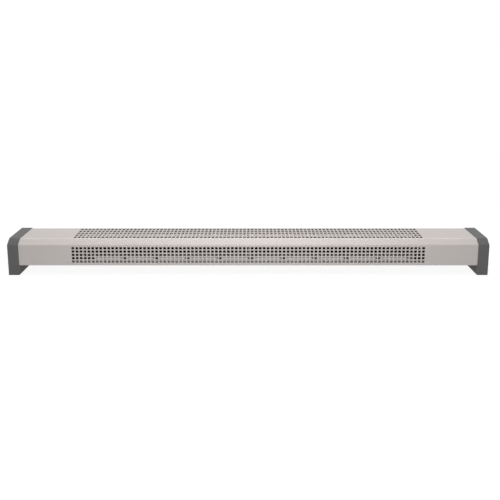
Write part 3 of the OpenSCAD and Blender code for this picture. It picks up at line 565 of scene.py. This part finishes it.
def inside_out(faces):
    """The same faces seen from the other side."""
    return faces[:, ::-1]


walls = [hole_walls((roll, 0.0), (0.0, roll)), hole_walls((0.0, roll), (roll, cover_t))]
edges = [edge_strip(grid_x[0], grid_s, False), edge_strip(grid_x[-1], grid_s, True),
         edge_strip(grid_x, grid_s[0], True), edge_strip(grid_x, grid_s[-1], False)]
print("walls: %d quads, edges: %d quads" % (sum(map(len, walls)), sum(map(len, edges))))


# %% [markdown]
# So far each face has corners of its own. Corners that lie at one place are made one point, so
# that the sheet is closed and shades smoothly. Merging in Blender by distance would do it too, but
# here it is done on the flat sheet, where the depth still tells which points lie on a rim. These
# carry a mark, and the paint runs thin there.

# %% The perforated cover
def weld(face_points):
    """Faces given as (m, k, 3) corners share one point wherever two corners agree to 0.1 um."""
    flat = np.concatenate([f.reshape(-1, 3) for f in face_points])
    keys, index = np.unique(np.round(flat, 4), axis=0, return_inverse=True)
    cuts = np.cumsum([f.shape[0] * f.shape[1] for f in face_points])[:-1]
    return keys, [i.reshape(f.shape[:2]) for i, f in zip(np.split(index.ravel(), cuts), face_points)]


flat_points, cover_faces = weld([
    sheet_cells(0.0), corner_fans(0.0), inside_out(sheet_cells(cover_t)), inside_out(corner_fans(cover_t)),
    *walls, *edges])
cover = add_piece("painted_cover", on_cover(flat_points), cover_faces, cover_paint)
on_rim = (np.abs(flat_points[:, 2] - roll) < 0.01).astype(np.float32)
cover.data.attributes.new("rim", "FLOAT", "POINT").data.foreach_set("value", on_rim)
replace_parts(cover, "cover")
cover.data.calc_loop_triangles()
print("cover:", len(columns) * len(row_s), "holes,", len(cover.data.loop_triangles), "triangles")


# %% [markdown]
# The other pieces have the right shape in the frame, but edges without any width catch no light,
# and it is the lit edge that tells an eye how thick and how soft a thing is. The pieces could be
# modelled again with round edges. It is quicker and truer to copy each solid, join its flat
# triangles, and let a Bevel modifier roll every edge by a known width.

# %% Copies with rolled edges
merge_mm, flat_degrees, sharp_degrees = 0.002, 0.6, 30


def rolled_copy(node, name, finish, width, segments=2, body="casing"):
    """A solid's copy with doubled points merged, flat triangles joined and edges rounded by width mm."""
    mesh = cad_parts[node].data.copy()
    work = bmesh.new()
    work.from_mesh(mesh)
    bmesh.ops.remove_doubles(work, verts=work.verts, dist=merge_mm * MM)
    bmesh.ops.dissolve_limit(work, angle_limit=math.radians(flat_degrees), verts=work.verts, edges=work.edges)
    work.to_mesh(mesh)
    work.free()
    piece = dress(name, mesh, finish, body, sharp_degrees)
    bevel = piece.modifiers.new("rolled_edges", "BEVEL")
    bevel.width = width * MM
    bevel.segments = segments
    bevel.limit_method = "ANGLE"
    bevel.angle_limit = math.radians(sharp_degrees)
    bevel.miter_outer = "MITER_ARC"
    even_light = piece.modifiers.new("even_light", "WEIGHTED_NORMAL")
    even_light.keep_sharp = True
    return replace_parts(piece, node)


print("rolled_copy merges, joins and bevels")

# %% [markdown]
# The end caps are thick mouldings, so their edges are the softest on the heater, near a
# millimetre. A bevel of one segment would show as a flat strip there. Three segments pass for
# round in every view that takes in a whole cap.

# %% End caps
for side in ("left", "right"):
    rolled_copy(side + "_end_cap", side + "_cap", cap_plastic, 0.9, 3)
print("end caps: 2")

# %% [markdown]
# Everything else inside is sheet, rod, ceramic or small hardware. How wide an edge is depends on
# how the piece was made: shearing leaves a tenth of a millimetre, turning and plating two or three
# tenths, and a ceramic or rubber mould more. Each row of the table gives the solid, its finish,
# the finish's slot and that width.

# %% Sheet metal, element and small parts
inner_pieces = [
    ("back_panel", galvanised, "galvanised", 0.15), ("base_tray", galvanised, "galvanised", 0.15),
    ("left_end_plate", galvanised, "galvanised", 0.15), ("right_end_plate", galvanised, "galvanised", 0.15),
    ("left_partition", black_sheet, "black_sheet", 0.15), ("right_partition", black_sheet, "black_sheet", 0.15),
    ("left_hanger", galvanised, "galvanised", 0.15), ("mid_hanger", galvanised, "galvanised", 0.15),
    ("right_hanger", galvanised, "galvanised", 0.15), ("heat_shield", bright_sheet, "bright_sheet", 0.1),
    ("element_sheath", sheath_steel, "sheath_steel", 0.2),
    ("element_profile", element_black, "element_black", 0.3),
    ("element_pins", plated_steel, "plated_steel", 0.2), ("element_insulators", steatite, "steatite", 0.3),
    ("partition_bushes", steatite, "steatite", 0.3), ("cutout_body", phenolic, "phenolic", 0.5),
    ("cutout_nut", plated_steel, "plated_steel", 0.3), ("cutout_tabs", brass, "brass", 0.1),
    ("terminal_block", block_plastic, "block_plastic", 0.3), ("terminal_inserts", brass, "brass", 0.1),
    ("terminal_screws", plated_steel, "plated_steel", 0.1), ("block_screws", plated_steel, "plated_steel", 0.1),
    ("cable_bush", black_rubber, "black_rubber", 0.5), ("earth_stud", brass, "brass", 0.2),
    ("earth_nut", brass, "brass", 0.2), ("earth_washer", plated_steel, "plated_steel", 0.1),
    ("wire_tags", plated_steel, "plated_steel", 0.15), ("cap_screws", plated_steel, "plated_steel", 0.3),
    ("cover_screws", plated_steel, "plated_steel", 0.3), ("chassis_rivets", plated_steel, "plated_steel", 0.3),
]
for node, finish, slot, width in inner_pieces:
    rolled_copy(node, node + "_piece", finish, width)
print("rolled copies:", len(inner_pieces))

# %% [markdown]
# The reset button is the one piece that moves. It is a small red moulding that a finger pushes
# from below, so its edges are round as well, at 0.4 mm. It could ride on the casing and be moved
# by hand for each picture. Riding on the frame's own button body, it follows the slide by itself.

# %% Reset button
button = rolled_copy("reset_button", "red_button", button_red, 0.4, 3, "button")
print("reset button:", [round(side * 1000, 1) for side in button.dimensions], "mm")


# %% [markdown]
# Wires, the sensing tube and the spring are round stock bent along a path. The frame's own have
# only a few sides, to save faces. A curve object with a bevel could carry round stock too, but a
# mesh made here follows the solids' paths exactly and can carry the earth wire's stripe. First the
# path: a cubic curve that passes through every point it is given, as the solids' does.

# %% Smooth paths
def smooth_path(points, steps=10):
    """Each span b to c is 0.5 (2b + (c - a) t + (2a - 5b + 4c - d) t^2 + (3b - a - 3c + d) t^3)."""
    p = np.asarray(points, float)
    p = np.concatenate([p[:1], p, p[-1:]])
    a, b, c, d = (p[k:len(p) - 3 + k, None] for k in range(4))
    t = np.arange(steps)[None, :, None] / steps
    curve = 0.5 * (2 * b + (c - a) * t + (2 * a - 5 * b + 4 * c - d) * t**2 + (3 * b - a - 3 * c + d) * t**3)
    return np.concatenate([curve.reshape(-1, 3), p[-1:]])


print("smooth_path: 10 steps from point to point")


# %% [markdown]
# Then the rings about it. Each ring stands square to the path, and needs a sideways direction that
# doesn't spin from one ring to the next. Turning the last ring's direction along would work, but
# needs a loop. These paths are short and lie nearly in a plane, so one fixed direction, the one
# that the path runs along least, serves every ring at once.

# %% Round stock on a path
def round_stock(path, radius, sides=14):
    """Rings of that radius about a path, in the plane square to it: p + r (cos w u + sin w v), where u
    and v come from the one direction that the path runs along least."""
    ahead = np.gradient(path, axis=0)
    ahead /= np.linalg.norm(ahead, axis=1, keepdims=True)
    least = np.linalg.svd(ahead)[2][-1]
    u = np.cross(ahead, least)
    u /= np.linalg.norm(u, axis=1, keepdims=True)
    v = np.cross(ahead, u)
    w = 2 * math.pi * np.arange(sides) / sides
    rings = path[:, None] + radius * (np.cos(w)[:, None] * u[:, None] + np.sin(w)[:, None] * v[:, None])
    i, k = np.meshgrid(np.arange(len(path) - 1), np.arange(sides), indexing="ij")
    nxt = (k + 1) % sides
    walls = np.stack([i * sides + k, i * sides + nxt, (i + 1) * sides + nxt, (i + 1) * sides + k], -1)
    first = np.arange(sides)[None, ::-1]
    last = np.arange(sides)[None] + (len(path) - 1) * sides
    return rings.reshape(-1, 3), [walls.reshape(-1, 4), first, last]


print("round_stock: 14 sides unless told otherwise")


# %% [markdown]
# Stock that takes a solid's place also carries a number for the earth wire's stripe: the turns
# round the wire, plus the length along it in pitches of the stripe. A UV map could hold the same,
# but a single named value is simpler to read in the finish.

# %% Stock in a solid's place
def add_stock(node, name, path, radius, finish, sides=14):
    """Round stock in place of a solid, which carries turns round it + length / the stripe's pitch."""
    points, faces = round_stock(path, radius, sides)
    piece = add_piece(name, points, faces, finish, crease=50)
    length = np.concatenate([[0], np.cumsum(np.linalg.norm(np.diff(path, axis=0), axis=1))])
    stripe_pitch = 22
    winding = ((np.arange(sides) / sides + length[:, None] / stripe_pitch) % 1).ravel().astype(np.float32)
    piece.data.attributes.new("round", "FLOAT", "POINT").data.foreach_set("value", winding)
    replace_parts(piece, node)
    return piece


print("add_stock puts round stock in a solid's place")

# %% [markdown]
# Four short wires join the terminal block to the cut-out, the element and the earth stud. A real
# wire leaves its clamp straight, swings through the free space in a soft curve, and enters the next
# tag straight. The routes below are those points, from end to end, set from the pieces' places.
# Simulating loose wires would give prettier sag but could touch the hot element.

# %% The wires' routes
block_x, pole_y, pole_z = 536, (-27, -18, -9), 33.8
pin_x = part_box("element_pins")[1].x / MM
tab_x, tab_y, tab_z = (513, 531), 14, 59.3
run_y, element_z = 9, 55
gap = 0.3


def from_block(y):
    """The first three points of a wire, straight out of the block's pole at y."""
    return [(block_x + 4, y, pole_z), (block_x + 0.5, y, pole_z), (block_x - 3, y, pole_z)]


routes = {
    "live_wire": from_block(pole_y[2]) + [
        (block_x - 8, pole_y[2] + 2, pole_z + 8), (block_x - 7, pole_y[2] + 7, pole_z + 22),
        (tab_x[1] + 3, tab_y - 5, tab_z + 10), (tab_x[1], tab_y, tab_z + 7), (tab_x[1], tab_y, tab_z + gap)],
    "link_wire": [
        (tab_x[0], tab_y, tab_z + gap), (tab_x[0], tab_y, tab_z + 5), (tab_x[0] - 2, tab_y - 1, tab_z + 9),
        (tab_x[0] - 3, tab_y - 2.5, tab_z + 5), (pin_x + 7, run_y + 1, element_z + 3),
        (pin_x + 4, run_y, element_z), (pin_x + gap, run_y, element_z)],
    "neutral_wire": from_block(pole_y[1]) + [
        (block_x - 9, pole_y[1], pole_z + 5), (block_x - 16, pole_y[1] + 3, element_z - 4),
        (pin_x + 12, -run_y - 2, element_z + 1), (pin_x + 5, -run_y, element_z),
        (pin_x + gap, -run_y, element_z)],
    "earth_wire": from_block(pole_y[0]) + [
        (block_x - 7, pole_y[0] + 1.5, pole_z - 0.5), (525, -22, 30.8), (522, -20, 29.3),
        (520 + gap, -20, 29.3)],
}
print("routes:", {name: len(route) for name, route in routes.items()})

# %% [markdown]
# Inner wires are colour coded, and whoever opens the heater reads them by it: brown for live, blue
# for neutral, green and yellow for earth. The link from the cut-out to the element is live, so it
# is brown as well. Each is 2.6 mm thick over its insulation.

# %% The wires
wire_r = 1.3
wire_finish = {"live_wire": (wire_brown, "wire_brown"), "link_wire": (wire_brown, "wire_brown"),
               "neutral_wire": (wire_blue, "wire_blue"), "earth_wire": (wire_earth, "wire_green_yellow")}
for node, route in routes.items():
    finish, slot = wire_finish[node]
    add_stock(node, node + "_stock", smooth_path(route), wire_r, finish)
print("wires:", len(routes), "of %.1f mm" % (2 * wire_r))

# %% [markdown]
# The cut-out feels the heat through a thin copper tube. It runs straight above the element for the
# whole heated length, passes the partition, and bends down into the cut-out. Smoothing the straight
# run would only add rings that nobody sees, so its three points go in as they are, and the smooth
# curve begins behind the partition.

# %% Sensor tube
sensor_z, cutout_x, cutout_top = 69.5, 522, 48.3
behind_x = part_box("right_partition")[1].x / MM - 0.8
sensor_path = np.concatenate([
    [(-438, 0, sensor_z), (0, 0, sensor_z), (440, 0, sensor_z)],
    smooth_path([(behind_x + 6, 0, sensor_z), (behind_x + 26, 0, sensor_z + 1),
                 (cutout_x - 22, 1, sensor_z + 0.5), (cutout_x - 6, tab_y - 9, sensor_z - 1),
                 (cutout_x - 1, tab_y - 2, sensor_z - 8), (cutout_x, tab_y, cutout_top + 6),
                 (cutout_x, tab_y, cutout_top + 0.1)])])
add_stock("sensor_tube", "sensor_stock", sensor_path, 1.0, copper_tube, 12)
print("sensor tube: %d rings" % len(sensor_path))

# %% [markdown]
# Under the cut-out's tabs a small helix of five turns pushes the reset button back. When a finger
# presses the button in by 2 mm, the spring has to shorten by as much. Here the spring is built at
# its full length, as a mesh of its own.

# %% Reset spring
coils, spring_r, spring_wire = 5, 3.5, 0.3
spring_low, spring_high, travel = 32.3, 41.9, 2.0
turns = np.linspace(0, coils, coils * 24 + 1)
spring_path = np.stack([cutout_x + spring_r * np.cos(2 * math.pi * turns),
                        tab_y + spring_r * np.sin(2 * math.pi * turns),
                        spring_low + (spring_high - spring_low) * turns / coils], 1)
spring = add_stock("reset_spring", "spring_stock", spring_path, spring_wire, spring_steel, 8)
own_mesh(spring)

# %% [markdown]
# The heater stands on a pale floor, as in a studio. A modelled backdrop that curves up behind it
# would do as well, but one large sheet serves every angle of view. It lies a fifth of a millimetre
# below the caps' feet, so that the two surfaces don't fight for the same place.

# %% Floor
floor_reach, floor_drop = 60.0, 0.0002
floor_mesh = bpy.data.meshes.new("floor")
floor_mesh.from_pydata([(-floor_reach, -floor_reach, 0), (floor_reach, -floor_reach, 0),
                        (floor_reach, floor_reach, 0), (-floor_reach, floor_reach, 0)], [], [(0, 1, 2, 3)])
floor = bpy.data.objects.new("floor", floor_mesh)
bpy.context.collection.objects.link(floor)
floor.location.z = -floor_drop
print("floor: %.0f m square" % (2 * floor_reach))


# %% [markdown]
# The floor and the world need a little arithmetic on rays and places. Blender does it with small
# maths nodes, and these helpers make them: one joins two values, one fades from 0 to 1 between two
# places, one mixes two shaders, and one knows which rays show the background. Brighter lamps would
# whiten the background too, but would burn out the heater with it.

# %% Helpers for the stage
def combine(tree, operation, first, second):
    """A maths node on two outputs or numbers."""
    node = tree.nodes.new("ShaderNodeMath")
    node.operation = operation
    for socket, value in zip(node.inputs, (first, second)):
        if isinstance(value, (int, float)):
            socket.default_value = value
        else:
            tree.links.new(value, socket)
    return node.outputs[0]


def fade(tree, value, start, end, low=0.0, high=1.0):
    """Low before start, high past end, smooth between; start may be the larger."""
    node = tree.nodes.new("ShaderNodeMapRange")
    node.interpolation_type = "SMOOTHSTEP"
    node.inputs["From Min"].default_value, node.inputs["From Max"].default_value = start, end
    node.inputs["To Min"].default_value, node.inputs["To Max"].default_value = low, high
    tree.links.new(value, node.inputs["Value"])
    return node.outputs["Result"]


def mixed(tree, share, first, second):
    """Two shaders mixed by a share from 0, the first, to 1, the second."""
    mix = tree.nodes.new("ShaderNodeMixShader")
    tree.links.new(share, mix.inputs["Fac"])
    tree.links.new(first.outputs[0], mix.inputs[1])
    tree.links.new(second.outputs[0], mix.inputs[2])
    return mix


def background_rays(tree):
    """1 for the rays that show the background: the camera's, and those off metal or through glass."""
    seen = tree.nodes.new("ShaderNodeLightPath").outputs
    bounced = combine(tree, "MAXIMUM", seen["Is Glossy Ray"], seen["Is Transmission Ray"])
    return combine(tree, "MAXIMUM", seen["Is Camera Ray"], bounced)


print("helpers for the stage: combine, fade, mixed, background_rays")

# %% [markdown]
# The floor is matt pale grey paint, which keeps the heater's shadow, mixed with a glow that only
# background rays see and that lifts it to nearly white. Under and behind the heater the glow gives
# way to the plain matt floor, because that is what shows through the air slots, and far
# away it takes over, so that no horizon shows. The matt patch keeps its real shadow, but the patch
# itself is set by place, so it also lies there as a painted shadow of the heater. Each pair of
# places below, in metres, is where one of these changes begins and ends. From below the floor is
# clear, and the underside of the heater can be looked at.

# %% Floor finish
floor_finish = bpy.data.materials.new("pale_floor")
floor_finish.use_nodes = True
tree = floor_finish.node_tree
tree.nodes.clear()
matt = tree.nodes.new("ShaderNodeBsdfDiffuse")
matt.inputs["Color"].default_value = (0.64, 0.64, 0.64, 1)
glow = tree.nodes.new("ShaderNodeEmission")
glow.inputs["Strength"].default_value = 1.22
here = tree.nodes.new("ShaderNodeTexCoord").outputs["Object"]
axes = tree.nodes.new("ShaderNodeSeparateXYZ")
tree.links.new(here, axes.inputs[0])
away = tree.nodes.new("ShaderNodeVectorMath")
away.operation = "LENGTH"
tree.links.new(here, away.inputs[0])
matt_front, matt_back, matt_side = (0.012, 0.02), (0.22, 0.06), (0.66, 0.56)
horizon, near_glow, far_glow = (1.0, 4.0), 0.75, 1.0
# the patch where the glow is taken away, set by place, is a painted shadow under and behind the heater
across = combine(tree, "MULTIPLY", fade(tree, axes.outputs["Y"], *matt_front),
                 fade(tree, axes.outputs["Y"], *matt_back))
beside = combine(tree, "ABSOLUTE", axes.outputs["X"], 0)
shaded = combine(tree, "MULTIPLY", across, fade(tree, beside, *matt_side))
glow_share = combine(tree, "MULTIPLY", combine(tree, "SUBTRACT", 1, shaded),
                     fade(tree, away.outputs["Value"], *horizon, near_glow, far_glow))
from_above = mixed(tree, combine(tree, "MULTIPLY", background_rays(tree), glow_share), matt, glow)
clear = tree.nodes.new("ShaderNodeBsdfTransparent")
from_below = tree.nodes.new("ShaderNodeNewGeometry").outputs["Backfacing"]
result = tree.nodes.new("ShaderNodeOutputMaterial")
tree.links.new(mixed(tree, from_below, from_above, clear).outputs[0], result.inputs["Surface"])
floor_mesh.materials.append(floor_finish)
print("floor finish:", len(tree.nodes), "nodes")

# %% [markdown]
# The background is white to the eye, but a white world would also light the heater from every side
# and flatten it. Light Path tells the two apart: background rays meet full white, and the light
# that falls on the heater gets only a breath of grey, enough to soften the deepest shadows.

# %% World
world = bpy.data.worlds.new("studio")
bpy.context.scene.world = world
world.use_nodes = True
tree = world.node_tree
tree.nodes.clear()
faint, white = (tree.nodes.new("ShaderNodeBackground") for _ in range(2))
on_heater, behind_heater = 0.01, 1.0
for background, strength in ((faint, on_heater), (white, behind_heater)):
    background.inputs["Color"].default_value = (1, 1, 1, 1)
    background.inputs["Strength"].default_value = strength
result = tree.nodes.new("ShaderNodeOutputWorld")
tree.links.new(mixed(tree, background_rays(tree), faint, white).outputs[0], result.inputs["Surface"])
print("world: %g on the heater, %g behind it" % (on_heater, behind_heater))

# %% [markdown]
# Three area lamps stand in for studio soft boxes. A large one overhead lights the top and fills the
# rest, a smaller one in front of it brightens the slope most in the middle, and a low one gives
# the front its even tone. Point lamps would be simpler but would leave hard shadows of 890 holes.
# The watts were worked out from how bright each lamp alone makes each surface.

# %% Lamps
def soft_lamp(name, place, size, watts, aim=(0, 0, 0.05)):
    """A rectangular lamp at a place, turned to face a point."""
    data = bpy.data.lights.new(name, "AREA")
    data.shape = "RECTANGLE"
    data.size, data.size_y = size
    data.energy = watts
    lamp = bpy.data.objects.new(name, data)
    bpy.context.collection.objects.link(lamp)
    lamp.location = place
    toward = np.array(aim, float) - place
    lamp.rotation_euler = (math.atan2(math.hypot(toward[0], toward[1]), -toward[2]), 0,
                           math.atan2(toward[0], -toward[1]) + math.pi)
    return lamp


lamps = [soft_lamp("overhead_lamp", (0, 0.3, 1.8), (3.0, 1.5), 38.8),
         soft_lamp("high_lamp", (0, -0.5, 1.3), (1.0, 0.6), 4.3),
         soft_lamp("front_lamp", (0, -1.5, 0.15), (1.0, 0.3), 9.6)]
print("lamps:", len(lamps), "with %.1f W in all" % sum(lamp.data.energy for lamp in lamps))

# %% [markdown]
# The camera stands where the heater's edges and hole rows fit the photograph best. Looking down by
# tilting makes uprights lean towards each other. A product photographer keeps the camera nearly
# level and moves the picture off the lens's middle instead, which is what the vertical shift does.
# Here part of the look down is tilt and part is shift, so that other views stay in the frame.

# %% Camera
camera_data = bpy.data.cameras.new("camera")
camera_data.sensor_width = 36
camera_data.lens = 32.588
camera_data.shift_y = -0.30
tilt_down = 7.183
camera = bpy.data.objects.new("camera", camera_data)
bpy.context.collection.objects.link(camera)
camera.location = (0.0044, -1.1179, 0.5814)
camera.rotation_euler = (math.radians(90 - tilt_down), 0, 0)
bpy.context.scene.camera = camera
bpy.context.scene.view_settings.view_transform = "Standard"
print("camera: %.2f m in front, %.2f m up" % (-camera.location.y, camera.location.z))
